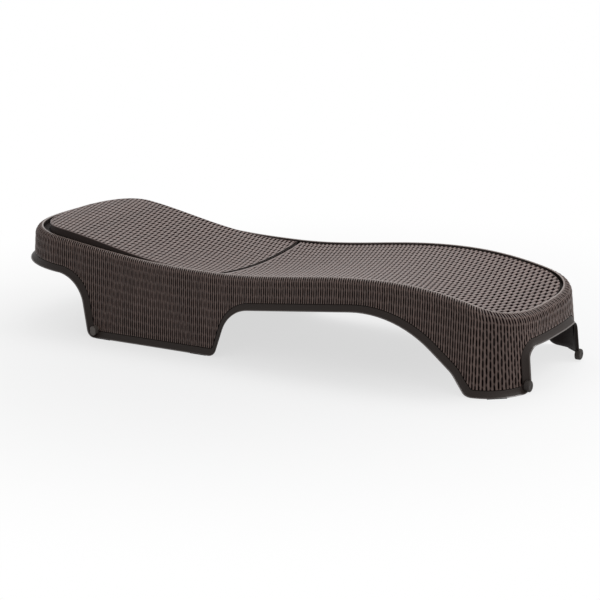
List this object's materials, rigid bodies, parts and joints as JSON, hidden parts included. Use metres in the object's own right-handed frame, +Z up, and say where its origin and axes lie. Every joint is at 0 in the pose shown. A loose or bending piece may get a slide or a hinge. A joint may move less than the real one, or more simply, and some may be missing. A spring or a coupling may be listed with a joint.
{
  "type": "relaxation lounger",
  "caption": "Low wave-shaped lounger with a moulded wicker-effect body on arched legs, an inset seat deck and a backrest that hinges up on a prop and racks.",
  "frame": {"origin": "on the floor, midway along the length and on the centre line", "axes": "+X towards the foot end, +Y to the far side in the picture, +Z up"},
  "size_m": [1.9149, 0.638, 0.3509],
  "materials": {
    "wicker_body": "moulded wicker-effect resin, dark brown, low sheen",
    "wicker_panel": "moulded basket-weave resin, lighter brown, soft sheen",
    "frame_plastic": "plain moulded resin, dark brown",
    "bearing_plastic": "black moulded resin",
    "steel": "zinc plated steel",
    "tube": "grey coated steel tube",
    "rubber": "black rubber"
  },
  "bodies": {
    "base": {"body_shell": "wicker_body", "seat_deck": "wicker_panel", "bearing_near": "bearing_plastic", "bearing_far": "bearing_plastic", "bearing_screws": "steel", "beam_seam": "frame_plastic", "beam_seat": "frame_plastic", "beam_crest": "frame_plastic", "beam_foot": "frame_plastic", "beam_head": "frame_plastic", "beam_mid": "frame_plastic", "bumpers": "rubber", "rack_near": "frame_plastic", "rack_far": "frame_plastic", "rack_screws": "steel", "beam_screws": "steel", "deck_screws": "steel", "glides": "rubber", "side_pegs": "wicker_body"},
    "back": {"back_panel": "wicker_panel", "knuckle_near": "frame_plastic", "knuckle_far": "frame_plastic", "hinge_pin_near": "steel", "hinge_pin_far": "steel", "knuckle_screws": "steel", "prop_lug_near": "frame_plastic", "prop_lug_far": "frame_plastic", "prop_pins": "steel", "lug_screws": "steel"},
    "prop": {"prop_frame": "tube"}
  },
  "joints": [
    {"name": "back_hinge", "type": "hinge", "parent": "base", "child": "back", "pos_m": [-0.11925, 0, 0.245], "axis": [0, 1, 0], "range_deg": [0, 50]},
    {"name": "prop_hinge", "type": "hinge", "parent": "back", "child": "prop", "pos_m": [-0.40425, 0, 0.257], "axis": [0, -1, 0], "range_deg": [0, 120]}
  ],
  "couplings": [
    {"joint": "prop_hinge", "follows": "back_hinge", "ratio": 2.4}
  ]
}
